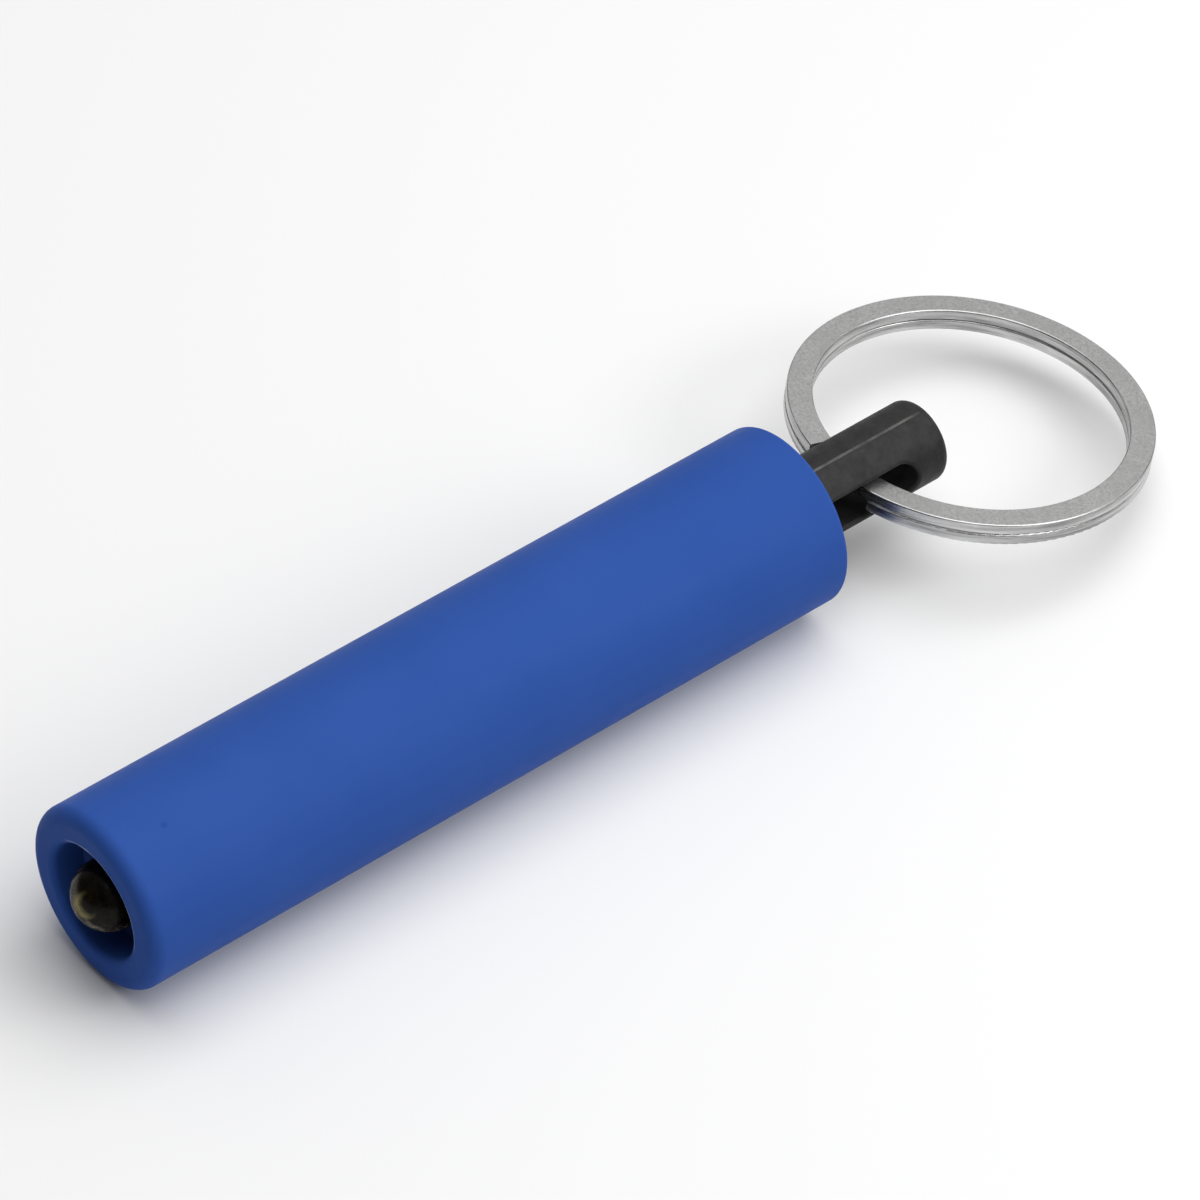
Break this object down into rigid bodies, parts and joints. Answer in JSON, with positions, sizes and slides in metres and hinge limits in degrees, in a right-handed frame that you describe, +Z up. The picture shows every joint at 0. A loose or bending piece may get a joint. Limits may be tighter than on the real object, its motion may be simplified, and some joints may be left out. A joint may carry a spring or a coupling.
{
  "type": "keychain flashlight",
  "caption": "Slim tube flashlight with a flat front face, a lamp in its mouth, a slotted push post at the back and a split key ring through the slot.",
  "frame": {"origin": "on the optical axis, half way along the barrel", "axes": "-Y the way the lamp shines, +Y towards the key ring, +Z up, so the barrel lies along Y"},
  "size_m": [0.0248, 0.0868, 0.0126],
  "materials": {
    "blue_plastic": "smooth satin gloss moulded plastic",
    "black_plastic": "fine matt moulded plastic",
    "cartridge_plastic": "matt dark moulded plastic",
    "ring_steel": "nickel-plated steel, fine grain on the flats, bright edges",
    "spring_steel": "drawn spring wire",
    "cell_steel": "nickel-plated drawn steel",
    "cell_seal": "nylon seal",
    "contact_brass": "stamped brass",
    "lamp_resin": "glossy epoxy that looks dark and olive over the parts inside it",
    "lamp_phosphor": "yellow phosphor in resin",
    "lamp_lead": "silver-plated lead frame"
  },
  "bodies": {
    "barrel": {"barrel": "blue_plastic", "rear_bush": "black_plastic", "cartridge_lower": "cartridge_plastic", "cartridge_upper": "cartridge_plastic", "front_contact": "contact_brass", "cell_1_can": "cell_steel", "cell_1_gasket": "cell_seal", "cell_1_cap": "cell_steel", "cell_2_can": "cell_steel", "cell_2_gasket": "cell_seal", "cell_2_cap": "cell_steel", "cell_3_can": "cell_steel", "cell_3_gasket": "cell_seal", "cell_3_cap": "cell_steel", "cell_4_can": "cell_steel", "cell_4_gasket": "cell_seal", "cell_4_cap": "cell_steel", "contact_spring": "spring_steel", "contact_rail": "contact_brass", "led_lens": "lamp_resin", "led_phosphor": "lamp_phosphor", "led_cathode_lead": "lamp_lead", "led_anode_lead": "lamp_lead"},
    "contact": {"contact_disc": "contact_brass", "contact_rivet": "contact_brass"},
    "plunger": {"plunger": "black_plastic"},
    "key_ring": {"split_ring": "ring_steel"}
  },
  "joints": [
    {"name": "plunger_press", "type": "slide", "parent": "barrel", "child": "contact", "axis": [0, -1, 0], "range_m": [0, 0.0015], "stiffness_N_per_m": 400, "springref_m": -0.003, "deforming": ["contact_spring"]},
    {"name": "plunger_turn", "type": "hinge", "parent": "contact", "child": "plunger", "pos_m": [0, 0.01175, 0], "axis": [0, 1, 0], "continuous": true},
    {"name": "ring_swing", "type": "hinge", "parent": "plunger", "child": "key_ring", "pos_m": [0, 0.03395, 0], "axis": [1, 0, 0], "range_deg": [-132.4, 147.6]}
  ]
}
